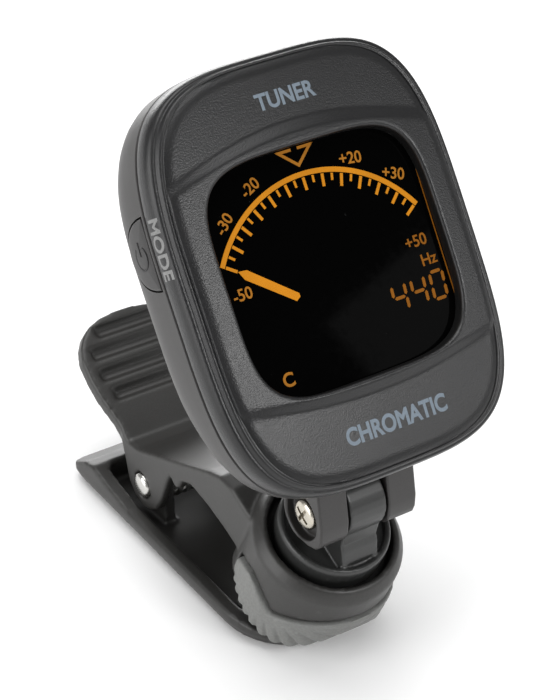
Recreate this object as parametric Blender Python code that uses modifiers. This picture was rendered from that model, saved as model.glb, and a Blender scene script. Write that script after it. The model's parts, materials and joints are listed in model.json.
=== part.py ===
"""Clip-on chromatic tuner: display head, tilt and swivel joint, sprung clip.

World frame: +Z up, +X to the right of a person reading the display, +Y towards
the thumb end of the clip.  The clip stands on the flat underside of its lower arm.
Dimensions are in millimetres; MM converts them to metres.
"""
from math import sin, cos, pi, radians, copysign

import bpy
import bmesh
from mathutils import Matrix, Vector

MM = 0.001
GAP = 0.3

# Joint frames: (Y, Z) of each axis in the world, and the lean of its frame about X
PIN_Y, PIN_Z = 8.8, 6.4
BOSS_Y, BOSS_Z, BOSS_LEAN = -23.55, 16.9, 23.5
HINGE_RISE = 8.05
HEAD_LEAN = 53.7
HINGE_Y = BOSS_Y - HINGE_RISE * sin(radians(BOSS_LEAN))
HINGE_Z = BOSS_Z + HINGE_RISE * cos(radians(BOSS_LEAN))
HINGE_IN_HEAD = (-22.77, -13.30)

# Head housing: rounded square sections as (depth, half width, half height, middle)
HEAD_POWER = 3.8
HEAD_SIDES = 52
HEAD_MID = 5.6
CELL_MID = 7.2
FRONT_OUTER = [(-2.05, 20.7, 26.0, 5.6), (-1.0, 20.7, 26.0, 5.6), (0.0, 20.5, 25.8, 5.6),
               (0.6, 20.15, 25.45, 5.6), (0.75, 19.9, 25.2, 5.6), (0.2, 19.75, 25.05, 5.6),
               (0.2, 19.5, 24.8, 5.6), (0.95, 19.35, 24.65, 5.6), (1.1, 19.15, 24.45, 5.6),
               (0.95, 18.9, 24.2, 5.6), (0.4, 18.8, 24.1, 5.6)]
FRONT_INNER = [(-3.0, 19.2, 24.5, 5.6), (-1.2, 19.1, 24.4, 5.6), (-0.6, 17.6, 22.9, 5.6),
               (0.6, 17.4, 22.7, 5.6)]
BACK_OUTER = [(-2.35, 20.7, 26.0, 5.6), (-6.0, 20.6, 25.6, 5.8), (-8.3, 20.35, 24.0, 6.4),
              (-10.0, 19.75, 21.8, 6.8), (-11.4, 18.6, 19.6, 7.0), (-12.3, 16.9, 17.4, 7.2),
              (-12.8, 14.6, 15.2, 7.2)]
BACK_INNER = [(-1.5, 19.2, 24.5, 5.6), (-5.8, 19.1, 24.1, 5.8), (-7.8, 18.9, 22.6, 6.4),
              (-9.4, 18.3, 20.4, 6.8), (-10.6, 17.0, 18.1, 7.0), (-11.4, 14.4, 15.0, 7.2)]
FACE_HALF = (18.55, 23.85)
WING_RISE, PANEL_RISE, FACE_DOME = (1.75, 0.65), (2.35, 1.15), 18.6
WINDOW = (15.25, 14.25, 4.45, 5.8)
LENS_HALF = (16.0, 15.0)
DISPLAY_X = 0.35
POST_X, POST_Y = 14.0, 18.4
POSTS = [(sx * POST_X, HEAD_MID + sy * POST_Y) for sx in (-1, 1) for sy in (-1, 1)]

# Side button: middle along the head, half length, flat edge and depth of its curved edge
BUTTON_MID, BUTTON_HALF, BUTTON_FLAT, BUTTON_DEPTH = 13.1, 4.35, -3.0, 6.3
BUTTON_INNER_X = -18.3

# Clevis under the head, tongue and swivel disc between head and clip
EAR_IN, EAR_OUT = 3.0, 7.2
TONGUE_HALF = 2.7
EAR_SIDE = [(-31.1, 22.7), (-30.2, 21.3), (-28.4, 20.7), (-26.2, 20.6), (-24.5, 21.3), (-23.3, 22.7),
            (-22.9, 24.5), (-23.7, 27.8), (-25.5, 33.5), (-31.1, 33.5)]
DISC_R, CUP_R, BOSS_R = 7.4, 8.2, 10.0

# Clip arms: side outlines as (Y, Z), half widths and the paddle's plan as (along, half width)
ARM_HALF, ARM_INNER = 8.1, 6.6
UPPER_SIDE = [(14.3, 12.8), (12.4, 11.5), (10.0, 11.7), (7.8, 12.5), (2.7, 14.7), (-2.2, 16.8),
              (-7.0, 18.9), (-10.0, 19.9), (-13.0, 19.8), (-17.0, 18.0), (-20.0, 16.0), (-20.0, 9.5),
              (-15.6, 10.6), (-11.8, 12.1), (-7.1, 13.5), (-3.4, 14.1), (-1.2, 13.2), (-0.3, 11.6),
              (0.8, 11.3), (1.7, 12.4), (2.5, 10.8), (4.0, 6.6), (5.2, 4.4), (6.8, 3.3),
              (8.8, 3.0), (10.8, 3.6), (12.4, 5.2), (13.3, 8.0), (14.3, 10.6)]
UPPER_HOLLOW = [(12.9, 9.6), (11.9, 9.5), (8.0, 10.6), (2.9, 12.8), (-2.0, 14.9), (-6.8, 17.0),
                (-10.0, 18.0), (-12.0, 17.9), (-13.2, 16.5), (-13.2, 1.0), (12.9, 1.0)]
PADDLE_LEAN = 35.0
PADDLE_ROOT = (13.8, 12.5)
PADDLE_HALF_WIDTHS = [(-2.4, 7.9), (0.0, 7.9), (2.0, 8.1), (5.0, 8.7), (8.0, 9.0), (11.0, 8.9),
                      (13.0, 8.2), (14.5, 7.1), (15.6, 5.6), (16.3, 3.6), (16.6, 1.3)]
PADDLE_GROOVES = [(5.0, 6.8), (8.1, 7.4), (11.3, 7.2), (14.2, 5.2)]
LOWER_SIDE = [(24.2, 0.6), (22.8, 0.0), (-21.5, 0.0), (-23.8, 0.4), (-25.2, 1.2), (-25.2, 1.9),
              (-22.0, 2.0), (-20.0, 2.5), (-17.0, 2.9), (9.0, 3.0), (14.5, 4.0), (17.8, 4.8),
              (20.0, 4.3), (24.2, 1.7)]
LUG_SIDE = [(5.2, 0.8), (12.6, 0.8), (11.7, 6.4), (10.9, 8.3), (8.8, 9.2), (6.7, 8.3), (5.9, 6.4)]
LUG_IN, LUG_OUT = 4.7, 6.3
NOSE_MID, LOWER_TAIL = -15.1, 24.1
LOWER_BASE, LOWER_RIM, LOWER_WALL, LOWER_FLOOR = 9.7, 10.7, 8.5, 1.2
SHOE_SIDE = [(-34.0, 7.75), (-32.5, 7.4), (-31.0, 6.5), (-29.4, 5.0), (-28.0, 3.6), (-26.6, 2.7),
             (-25.2, 2.25), (-23.5, 2.4), (-21.9, 3.2), (-20.2, 4.7), (-18.4, 6.4), (-17.0, 7.9),
             (-16.2, 9.3), (-16.1, 10.6), (-16.9, 12.0), (-18.5, 12.5), (-20.6, 12.4),
             (-21.9, 11.3), (-22.8, 9.6), (-23.9, 7.75)]
SHOE_TOP = 7.75
FLAP_POCKET = [(-24.3, 7.0), (-23.1, 9.8), (-22.1, 11.6), (-20.7, 12.7), (-18.4, 12.8),
               (-16.6, 12.3), (-15.8, 10.7), (-15.9, 9.0), (-15.9, 7.0)]
PIN_R = 1.75
COIL_R, WIRE_R, COIL_TURNS, COIL_STEPS = 2.6, 0.4, 5.5, 16

# Outline planes: where an outline's own (u, v) and its thickness point
PLANE_XY = Matrix.Identity(4)
PLANE_YZ = Matrix(((0, 0, 1, 0), (1, 0, 0, 0), (0, 1, 0, 0), (0, 0, 0, 1)))
PLANE_XZ = Matrix(((1, 0, 0, 0), (0, 0, -1, 0), (0, 1, 0, 0), (0, 0, 0, 1)))

for leftover in list(bpy.data.objects):
    bpy.data.objects.remove(leftover, do_unlink=True)

parts = bpy.data.collections.new("clip_on_tuner")
cutters = bpy.data.collections.new("cutters")
bpy.context.scene.collection.children.link(parts)
bpy.context.scene.collection.children.link(cutters)


# ---------------------------------------------------------------- shapes
def material(name, colour, roughness, metallic=0.0):
    mat = bpy.data.materials.new(name)
    mat.use_nodes = True
    shader = mat.node_tree.nodes["Principled BSDF"]
    shader.inputs["Base Color"].default_value = (*colour, 1.0)
    shader.inputs["Roughness"].default_value = roughness
    shader.inputs["Metallic"].default_value = metallic
    mat.diffuse_color = (*colour, 1.0)
    return mat


def shape(name, bm):
    """Make an object of a bmesh, smooth but for its corners."""
    mesh = bpy.data.meshes.new(name)
    bm.to_mesh(mesh)
    bm.free()
    mesh.shade_smooth()
    mesh.set_sharp_from_angle(angle=radians(35))
    obj = bpy.data.objects.new(name, mesh)
    parts.objects.link(obj)
    return obj


def stand(obj, at, axis):
    """Put a piece made about Z at a point, turned to lie along X if asked."""
    obj.location = Vector(at) * MM
    if axis == "X":
        obj.rotation_euler = (0.0, radians(90), 0.0)
    return obj


def block(name, low, high):
    bm = bmesh.new()
    bmesh.ops.create_cube(bm, size=1.0)
    size = [(b - a) * MM for a, b in zip(low, high)]
    middle = [(a + b) * MM / 2 for a, b in zip(low, high)]
    bmesh.ops.scale(bm, vec=size, verts=bm.verts)
    bmesh.ops.translate(bm, vec=middle, verts=bm.verts)
    return shape(name, bm)


def cylinder(name, radius, low, high, at=(0.0, 0.0, 0.0), axis="Z", sides=32):
    bm = bmesh.new()
    bmesh.ops.create_cone(bm, cap_ends=True, segments=sides, radius1=radius * MM,
                          radius2=radius * MM, depth=(high - low) * MM)
    bmesh.ops.translate(bm, vec=(0.0, 0.0, (low + high) * MM / 2), verts=bm.verts)
    return stand(shape(name, bm), at, axis)


def turned(name, profile, at=(0.0, 0.0, 0.0), axis="Z", ring=False, sides=40):
    """Spin (radius, height) points, listed down the outer side; a ring's profile is closed."""
    points = list(profile)
    if not ring:
        points = [(0.0, profile[0][1])] + points + [(0.0, profile[-1][1])]
    bm = bmesh.new()
    verts = [bm.verts.new((radius * MM, 0.0, height * MM)) for radius, height in points]
    for upper, lower in zip(verts, verts[1:]):
        bm.edges.new((upper, lower))
    if ring:
        bm.edges.new((verts[-1], verts[0]))
    obj = shape(name, bm)
    screw = obj.modifiers.new("turn", "SCREW")
    screw.steps = sides
    screw.render_steps = sides
    screw.use_merge_vertices = True
    screw.merge_threshold = 0.00001
    return stand(obj, at, axis)


def flat(name, outline, low, high, plane=PLANE_XY):
    """Outline between two levels: a filled 2D curve, extruded and made a mesh."""
    curve = bpy.data.curves.new(name, "CURVE")
    curve.dimensions = "2D"
    curve.fill_mode = "BOTH"
    curve.extrude = (high - low) * MM / 2
    spline = curve.splines.new("POLY")
    spline.points.add(len(outline) - 1)
    spline.use_cyclic_u = True
    for point, (u, v) in zip(spline.points, outline):
        point.co = (u * MM, v * MM, 0.0, 1.0)
    drawn = bpy.data.objects.new(name + "_outline", curve)
    drawn.matrix_world = plane @ Matrix.Translation((0.0, 0.0, (low + high) * MM / 2))
    parts.objects.link(drawn)
    evaluated = drawn.evaluated_get(bpy.context.evaluated_depsgraph_get())
    mesh = bpy.data.meshes.new_from_object(evaluated)
    mesh.transform(drawn.matrix_world)
    bm = bmesh.new()
    bm.from_mesh(mesh)
    bmesh.ops.remove_doubles(bm, verts=bm.verts, dist=0.000001)
    bmesh.ops.recalc_face_normals(bm, faces=bm.faces)
    bpy.data.objects.remove(drawn, do_unlink=True)
    bpy.data.meshes.remove(mesh)
    return shape(name, bm)


def loft(name, rings):
    """Skin a run of unlike sections, each an equal count of 3-D points."""
    bm = bmesh.new()
    made = [[bm.verts.new(Vector(p) * MM) for p in ring] for ring in rings]
    for low, high in zip(made, made[1:]):
        for i in range(len(low)):
            j = (i + 1) % len(low)
            bm.faces.new((low[i], low[j], high[j], high[i]))
    bm.faces.new(made[0])
    bm.faces.new(made[-1])
    bmesh.ops.recalc_face_normals(bm, faces=bm.faces)
    return shape(name, bm)


def combine(target, tool, operation="DIFFERENCE"):
    """Boolean a tool into a target; both are drawn in the same frame."""
    parts.objects.unlink(tool)
    cutters.objects.link(tool)
    tool.hide_render = True
    tool.display_type = "WIRE"
    modifier = target.modifiers.new(tool.name, "BOOLEAN")
    modifier.operation = operation
    modifier.solver = "EXACT"
    modifier.object = tool


def soften(obj, width):
    """Round the corners of a piece before anything is cut from it."""
    bevel = obj.modifiers.new("soft_edges", "BEVEL")
    bevel.width = width * MM
    bevel.segments = 2
    bevel.limit_method = "ANGLE"
    bevel.angle_limit = radians(50)
    return obj


def attach(obj, frame):
    """Parent a piece, and the tools that its booleans use, to a joint's frame."""
    obj.parent = frame
    for modifier in obj.modifiers:
        if modifier.type == "BOOLEAN":
            attach(modifier.object, frame)


def finish(obj, frame, mat):
    attach(obj, frame)
    obj.data.materials.clear()
    obj.data.materials.append(mat)


def frame_empty(name, y, z, lean=0.0, parent=None):
    empty = bpy.data.objects.new(name, None)
    empty.location = (0.0, y * MM, z * MM)
    empty.rotation_euler = (radians(lean), 0.0, 0.0)
    empty.parent = parent
    parts.objects.link(empty)
    return empty


# ---------------------------------------------------------------- outlines
def superellipse(half_x, half_y, power, mid_y, mid_x=0.0, sides=HEAD_SIDES):
    outline = []
    for i in range(sides):
        c = cos(2 * pi * (i + 0.5) / sides)
        s = sin(2 * pi * (i + 0.5) / sides)
        x = half_x * copysign(abs(c) ** (2 / power), c)
        y = half_y * copysign(abs(s) ** (2 / power), s)
        outline.append((mid_x + x, mid_y + y))
    return outline


def face_outline():
    return superellipse(*FACE_HALF, HEAD_POWER, HEAD_MID)


def housing(name, sections, grow=0.0):
    rings = []
    for z, half_x, half_y, mid_y in sections:
        outline = superellipse(half_x + grow, half_y + grow, HEAD_POWER, mid_y)
        rings.append([(x, y, z) for x, y in outline])
    return loft(name, rings)


def arc(mid, radius, start, stop, count):
    """Points on an arc, angles in degrees."""
    points = []
    for i in range(count):
        a = radians(start + (stop - start) * i / (count - 1))
        points.append((mid[0] + radius * cos(a), mid[1] + radius * sin(a)))
    return points


def clip_plan(half, nose_mid, tail, corner):
    """Plan of the lower arm: round nose, straight sides, rounded tail corners."""
    nose = arc((0.0, nose_mid), half, 180, 360, 21)
    right = arc((half - corner, tail - corner), corner, 0, 90, 6)
    left = arc((corner - half, tail - corner), corner, 90, 180, 6)
    return nose + right + left


def button_outline(grow=0.0):
    """D shape on the head's side wall as (y, z): flat edge at the split, curved edge behind."""
    outline = []
    for y, z in arc((BUTTON_MID, 0.0), BUTTON_HALF + grow, 0, 180, 15):
        outline.append((y, BUTTON_FLAT - z * BUTTON_DEPTH / BUTTON_HALF))
    edge = BUTTON_FLAT + grow
    return outline + [(BUTTON_MID - BUTTON_HALF - grow, edge), (BUTTON_MID + BUTTON_HALF + grow, edge)]


def to_head(y, z):
    """World (Y, Z) to the head's own (y, z)."""
    dy, dz = y - HINGE_Y, z - HINGE_Z
    c, s = cos(radians(HEAD_LEAN)), sin(radians(HEAD_LEAN))
    return HINGE_IN_HEAD[0] + dy * c + dz * s, HINGE_IN_HEAD[1] - dy * s + dz * c


tilt_axis = frame_empty("tilt_axis", HINGE_Y, HINGE_Z, HEAD_LEAN)
head = frame_empty("head_frame", -HINGE_IN_HEAD[0], -HINGE_IN_HEAD[1], parent=tilt_axis)
swivel = frame_empty("swivel_axis", BOSS_Y, BOSS_Z, BOSS_LEAN)
jaw_axis = frame_empty("jaw_axis", PIN_Y, PIN_Z)
upper = frame_empty("upper_frame", -PIN_Y, -PIN_Z, parent=jaw_axis)


# ---------------------------------------------------------------- front shell
def face_levels(x):
    """Heights of the wings and of the raised panel, which both fall away to the sides."""
    q = (x / FACE_DOME) ** 2
    return WING_RISE[0] - WING_RISE[1] * q, PANEL_RISE[0] - PANEL_RISE[1] * q


def panel_edges(x):
    """Edges of the raised panel and of its sloped border, bottom to top."""
    q = (x / 17.0) ** 2
    low_border = -10.39 + 1.96 * q + 0.03 * q * q
    low = -8.94 + 1.82 * q - 0.36 * q * q
    top = 21.54 - 3.26 * q + 0.53 * q * q
    top_border = 23.14 - 3.45 * q + 0.31 * q * q
    return low_border, low, top, top_border


def build_face():
    """Domed front with a raised panel, cut to the face's outline."""
    stations = []
    count = 22
    for i in range(count + 1):
        x = FACE_HALF[0] * 1.03 * (2 * i / count - 1)
        wing, panel = face_levels(x)
        low_border, low, top, top_border = panel_edges(x)
        stations.append([(x, -20.0, wing), (x, low_border, wing), (x, low, panel), (x, top, panel),
                         (x, top_border, wing), (x, 31.0, wing), (x, 31.0, 0.1), (x, -20.0, 0.1)])
    face = loft("front_face", stations)
    combine(face, flat("front_face_trim", face_outline(), -1.0, 4.0), "INTERSECT")
    return face


def build_front_shell():
    shell = housing("front_shell", FRONT_OUTER)
    combine(shell, build_face(), "UNION")
    combine(shell, housing("front_cavity", FRONT_INNER))
    window = superellipse(*WINDOW, DISPLAY_X)
    combine(shell, flat("front_window", window, -1.0, 4.0))
    for i, (x, y) in enumerate(POSTS):
        post = cylinder(f"front_post_{i}", 2.4, -1.95, 0.5, (x, y, 0.0), sides=20)
        combine(shell, post, "UNION")
        combine(shell, cylinder(f"front_bore_{i}", 0.95, -3.0, 0.0, (x, y, 0.0), sides=14))
    finish(shell, head, material("shell_plastic_front", (0.0095, 0.0095, 0.01), 0.45))


# ---------------------------------------------------------------- back shell
def build_back_shell():
    shell = housing("back_shell", BACK_OUTER)
    ear = [to_head(y, z) for y, z in EAR_SIDE]
    for side in (-1, 1):
        low, high = sorted((side * EAR_IN, side * EAR_OUT))
        combine(shell, flat(f"ear_{side}", ear, low, high, PLANE_YZ), "UNION")
    combine(shell, housing("back_cavity", BACK_INNER))
    for i, (x, y) in enumerate(POSTS):
        post = cylinder(f"back_post_{i}", 2.5, -9.0, -2.45, (x, y, 0.0), sides=20)
        combine(shell, post, "UNION")
        combine(shell, cylinder(f"back_bore_{i}", 1.05, -8.0, -1.0, (x, y, 0.0), sides=14))
        combine(shell, cylinder(f"back_sink_{i}", 1.9, -14.0, -6.8, (x, y, 0.0), sides=20))
    cut_door_hole(shell)
    combine(shell, flat("button_hole", button_outline(0.2), -25.0, -17.0, PLANE_YZ))
    at = (0.0, *HINGE_IN_HEAD)
    combine(shell, cylinder("ear_bore", 1.3, -9.0, 9.0, at, "X", 24))
    combine(shell, cylinder("ear_recess", 3.2, -9.0, -5.9, at, "X", 28))
    combine(shell, turned("ear_nut_pocket", [(2.5, 9.0), (2.5, 5.3)], at, "X", sides=6))
    finish(shell, head, material("shell_plastic_back", (0.016, 0.0145, 0.014), 0.5))


def cut_door_hole(shell):
    """Round opening with two slanted notches, through which the door's tabs drop in."""
    combine(shell, cylinder("door_hole", 12.25, -15.0, -10.5, (0.0, CELL_MID, 0.0), sides=44))
    for side in (-1, 1):
        low, high = sorted((0.0, 13.4 * side))
        notch = block(f"door_notch_{side}", (-2.9, low, -12.0), (2.9, high, -10.5))
        notch.location = (0.0, CELL_MID * MM, 0.0)
        notch.rotation_euler = (0.0, 0.0, radians(45))
        combine(shell, notch)


def build_button():
    button = housing("mode_button", BACK_OUTER, 0.12)
    combine(button, flat("button_face", button_outline(), -25.0, BUTTON_INNER_X, PLANE_YZ), "INTERSECT")
    wide = button_outline(0.7)[:-2] + [(8.1, -2.65), (18.1, -2.65)]
    flange = flat("button_flange", wide, BUTTON_INNER_X - 0.5, BUTTON_INNER_X + 0.4, PLANE_YZ)
    reach = superellipse(18.75, 22.2, HEAD_POWER, 6.4)
    combine(flange, flat("button_flange_trim", reach, -7.6, 0.0), "INTERSECT")
    combine(button, flange, "UNION")
    finish(button, head, material("button_plastic", (0.014, 0.0135, 0.0135), 0.45))


def build_battery_door():
    at = (0.0, CELL_MID, 0.0)
    door = cylinder("battery_door", 12.0, -12.8, -11.6, at, sides=44)
    lip = [(11.9, -10.9), (11.9, -11.9), (10.9, -11.9), (10.9, -10.9)]
    combine(door, turned("door_lip", lip, at, ring=True, sides=44), "UNION")
    for side in (-1, 1):
        low, high = sorted((side * 11.4, side * 13.1))
        tab = block(f"door_tab_{side}", (low, CELL_MID - 2.5, -11.2), (high, CELL_MID + 2.5, -10.9))
        combine(door, tab, "UNION")
    combine(door, block("door_coin_slot", (-6.0, CELL_MID - 0.9, -13.4), (6.0, CELL_MID + 0.9, -12.3)))
    finish(door, head, material("door_plastic", (0.014, 0.014, 0.014), 0.5))


# ---------------------------------------------------------------- inside the head
def build_display_stack():
    outline = superellipse(*LENS_HALF, WINDOW[2], WINDOW[3], DISPLAY_X)
    lens = flat("lens", outline, -0.15, 0.5)
    finish(lens, head, material("lens_acrylic", (0.01, 0.01, 0.012), 0.08))
    lcd = block("lcd_panel", (-16.0, -10.2, -1.9), (16.0, 21.1, -0.3))
    finish(lcd, head, material("lcd_glass", (0.02, 0.018, 0.015), 0.2))
    guide = block("light_guide", (-16.0, -8.3, -3.9), (16.0, 21.1, -2.2))
    finish(guide, head, material("guide_acrylic", (0.7, 0.7, 0.68), 0.4))
    strip = block("zebra_connector", (-13.5, -10.1, -4.0), (13.5, -8.7, -2.2))
    finish(strip, head, material("zebra_rubber", (0.5, 0.35, 0.36), 0.7))


def board_outline():
    """Rectangle with its four corners cut back around the screw posts."""
    outline = []
    for sx, sy in ((1, 1), (-1, 1), (-1, -1), (1, -1)):
        corner = [(17.0, 15.2), (11.1, 15.2), (11.1, 21.6)]
        run = corner if sx * sy > 0 else corner[::-1]
        outline += [(sx * x, HEAD_MID + sy * y) for x, y in run]
    return outline


def build_electronics():
    board = flat("circuit_board", board_outline(), -5.4, -4.25)
    finish(board, head, material("board_laminate", (0.02, 0.16, 0.07), 0.5))
    led = block("backlight_led", (-1.0, -12.4, -4.0), (1.0, -11.0, -3.2))
    finish(led, head, material("led_resin", (0.8, 0.7, 0.4), 0.3))
    dome = [(3.2, -5.65), (3.0, -6.2), (2.0, -6.8), (0.8, -7.0)]
    chip = turned("controller_chip", dome, (9.5, -8.6, 0.0), sides=24)
    finish(chip, head, material("chip_resin", (0.01, 0.01, 0.01), 0.4))
    switch = block("tact_switch", (-16.7, 10.6, -7.7), (-14.7, 15.6, -5.65))
    combine(switch, block("tact_stem", (-17.5, 12.3, -7.2), (-16.5, 13.9, -5.9)), "UNION")
    finish(switch, head, material("switch_body", (0.03, 0.03, 0.03), 0.5))
    piezo = cylinder("piezo_disc", 4.2, -8.9, -8.5, (0.0, -8.9, 0.0), sides=28)
    finish(piezo, head, material("piezo_brass", (0.7, 0.52, 0.2), 0.35, 1.0))


def build_battery():
    at = (0.0, CELL_MID, 0.0)
    wall = [(11.5, -5.65), (11.5, -9.4), (10.3, -9.4), (10.3, -5.65)]
    holder = turned("cell_holder", wall, at, ring=True, sides=44)
    combine(holder, block("holder_gap", (9.0, CELL_MID - 2.6, -10.5), (13.0, CELL_MID + 2.6, -5.0)))
    finish(holder, head, material("holder_plastic", (0.02, 0.02, 0.02), 0.5))
    can = [(8.9, -7.15), (9.0, -7.35), (9.8, -7.5), (10.0, -7.8), (10.0, -10.1), (9.8, -10.35)]
    cell = turned("coin_cell", can, at, sides=44)
    finish(cell, head, material("cell_steel", (0.72, 0.72, 0.7), 0.25, 1.0))
    spring = flat("contact_negative", superellipse(3.2, 6.0, 2.4, CELL_MID, sides=20), -6.9, -5.65)
    finish(spring, head, material("contact_nickel_a", (0.7, 0.68, 0.6), 0.3, 1.0))
    bend = [(10.25, -10.0), (10.5, -10.0), (10.5, -5.9), (13.6, -5.9), (13.6, -5.65), (10.25, -5.65)]
    clip = flat("contact_positive", bend, -CELL_MID - 2.0, -CELL_MID + 2.0, PLANE_XZ)
    finish(clip, head, material("contact_nickel_b", (0.7, 0.68, 0.6), 0.3, 1.0))


def build_case_screws():
    profile = [(0.3, -0.3), (0.8, -0.8), (0.8, -6.95), (1.6, -6.95), (1.6, -7.95), (1.3, -8.2)]
    for i, (x, y) in enumerate(POSTS):
        screw = turned(f"case_screw_{i + 1}", profile, (x, y, 0.0), sides=14)
        for turn in (0, 90):
            bar = block(f"case_cross_{i}_{turn}", (-0.9, -0.18, -9.0), (0.9, 0.18, -7.6))
            bar.location = (x * MM, y * MM, 0.0)
            bar.rotation_euler = (0.0, 0.0, radians(turn))
            combine(screw, bar)
        finish(screw, head, material(f"screw_steel_{i + 1}", (0.55, 0.55, 0.53), 0.3, 1.0))


# ---------------------------------------------------------------- tilt and swivel joints
def build_tilt_fasteners():
    y, z = HINGE_IN_HEAD
    profile = [(1.1, 6.9), (1.1, -6.1), (2.0, -6.1), (2.0, -6.45), (1.75, -6.85), (1.2, -7.05)]
    screw = turned("tilt_screw", profile, (0.0, y, z), "X", sides=24)
    for a, b in ((1.3, 0.22), (0.22, 1.3)):
        cross = block(f"tilt_cross_{a}", (-8.0, y - a, z - b), (-6.55, y + a, z + b))
        combine(screw, cross)
    finish(screw, head, material("tilt_screw_nickel", (0.75, 0.72, 0.62), 0.25, 1.0))
    wall = [(2.25, 7.0), (2.25, 5.5), (1.45, 5.5), (1.45, 7.0)]
    nut = turned("tilt_nut", wall, (0.0, y, z), "X", ring=True, sides=6)
    finish(nut, head, material("tilt_nut_nickel", (0.7, 0.68, 0.62), 0.3, 1.0))


def build_knuckle():
    profile = [(6.4, 1.1), (6.6, 1.9), (7.0, 2.0), (7.25, 1.85), (DISC_R, 1.4), (7.3, -1.9), (6.9, -2.2)]
    knuckle = turned("swivel_knuckle", profile, sides=48)
    tongue = arc((0.0, HINGE_RISE), 4.3, -10, 200, 17)
    tongue += [(-4.35, 4.6), (-5.1, 3.7), (-5.95, 2.2), (-5.95, 0.6), (3.9, 0.6), (3.7, 4.4)]
    combine(knuckle, flat("tongue", tongue, -TONGUE_HALF, TONGUE_HALF, PLANE_YZ), "UNION")
    combine(knuckle, cylinder("spigot", 2.5, -4.65, -1.5, sides=28), "UNION")
    at = (0.0, 0.0, HINGE_RISE)
    combine(knuckle, cylinder("tongue_bore", 1.35, -4.0, 4.0, at, "X", 24))
    combine(knuckle, cylinder("spigot_bore", 1.1, -6.0, 1.8, sides=20))
    finish(knuckle, swivel, material("knuckle_plastic", (0.02, 0.02, 0.0195), 0.45))
    profile = [(0.9, 1.4), (0.9, -5.45), (2.1, -5.45), (2.1, -6.6), (1.7, -6.9)]
    screw = turned("swivel_screw", profile, sides=20)
    for turn in (0, 90):
        bar = block(f"swivel_cross_{turn}", (-1.2, -0.22, -8.0), (1.2, 0.22, -6.3))
        bar.rotation_euler = (0.0, 0.0, radians(turn))
        combine(screw, bar)
    finish(screw, swivel, material("swivel_screw_steel", (0.6, 0.6, 0.58), 0.3, 1.0))
    wall = [(4.6, -4.8), (4.6, -5.3), (1.15, -5.3), (1.15, -4.8)]
    washer = turned("swivel_washer", wall, ring=True, sides=32)
    finish(washer, swivel, material("washer_steel", (0.6, 0.6, 0.58), 0.35, 1.0))


# ---------------------------------------------------------------- clip
def lean(tool, y, z, angle):
    """Stand a tool drawn about Z on a leaned axis through world (Y, Z)."""
    tool.location = (0.0, y * MM, z * MM)
    tool.rotation_euler = (radians(angle), 0.0, 0.0)
    return tool


def boss_cylinder(name, radius, low, high, sides=44):
    return lean(cylinder(name, radius, low, high, sides=sides), BOSS_Y, BOSS_Z, BOSS_LEAN)


def everything_below(name, level):
    return block(name, (-20.0, -60.0, -30.0), (20.0, 10.0, level))


def build_upper_arm():
    arm = soften(flat("upper_arm", UPPER_SIDE, -ARM_HALF, ARM_HALF, PLANE_YZ), 0.4)
    plan = [(half, along) for along, half in PADDLE_HALF_WIDTHS]
    plan += [(-half, along) for along, half in reversed(PADDLE_HALF_WIDTHS)]
    paddle = soften(flat("paddle", plan, -2.2, 0.0), 0.5)
    combine(arm, lean(paddle, *PADDLE_ROOT, PADDLE_LEAN), "UNION")
    profile = [(8.8, 0.0), (9.0, -0.1), (9.9, -1.3), (BOSS_R, -1.7), (BOSS_R, -16.0)]
    boss = lean(turned("boss", profile, sides=48), BOSS_Y, BOSS_Z, BOSS_LEAN)
    combine(boss, everything_below("boss_floor_cut", SHOE_TOP + GAP))
    combine(arm, boss, "UNION")
    combine(arm, flat("arm_hollow", UPPER_HOLLOW, -ARM_INNER, ARM_INNER, PLANE_YZ))
    combine(arm, boss_cylinder("cup", CUP_R, -2.5, 3.0))
    combine(arm, boss_cylinder("cup_hole", 2.85, -9.0, 0.0, 28))
    combine(arm, boss_cylinder("cup_underside", 6.6, -16.0, -4.4, 32))
    pocket = flat("flap_pocket", FLAP_POCKET, -13.0, 13.0, PLANE_YZ)
    combine(pocket, boss_cylinder("pocket_core", 8.75, -20.0, 5.0))
    combine(arm, pocket)
    combine(arm, cylinder("flange_bore", 1.95, -12.0, 12.0, (0.0, PIN_Y, PIN_Z), "X", 28))
    for i, (along, reach) in enumerate(PADDLE_GROOVES):
        lift = along * sin(radians(PADDLE_LEAN)) + GAP
        at = (0.0, PADDLE_ROOT[0] + along * cos(radians(PADDLE_LEAN)), PADDLE_ROOT[1] + lift)
        combine(arm, cylinder(f"paddle_groove_{i}", 1.0, -reach, reach, at, "X", 18))
    finish(arm, upper, material("clip_plastic_upper", (0.014, 0.0135, 0.0125), 0.5))


def build_shoe():
    shoe = flat("upper_pad", SHOE_SIDE, -13.0, 13.0, PLANE_YZ)
    combine(shoe, boss_cylinder("shoe_round", 10.5, -30.0, 10.0), "INTERSECT")
    core = boss_cylinder("shoe_core", 9.0, -30.0, 10.0)
    combine(core, everything_below("shoe_core_below", SHOE_TOP))
    combine(shoe, core)
    finish(shoe, upper, material("shoe_rubber", (0.1, 0.1, 0.097), 0.85))


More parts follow.
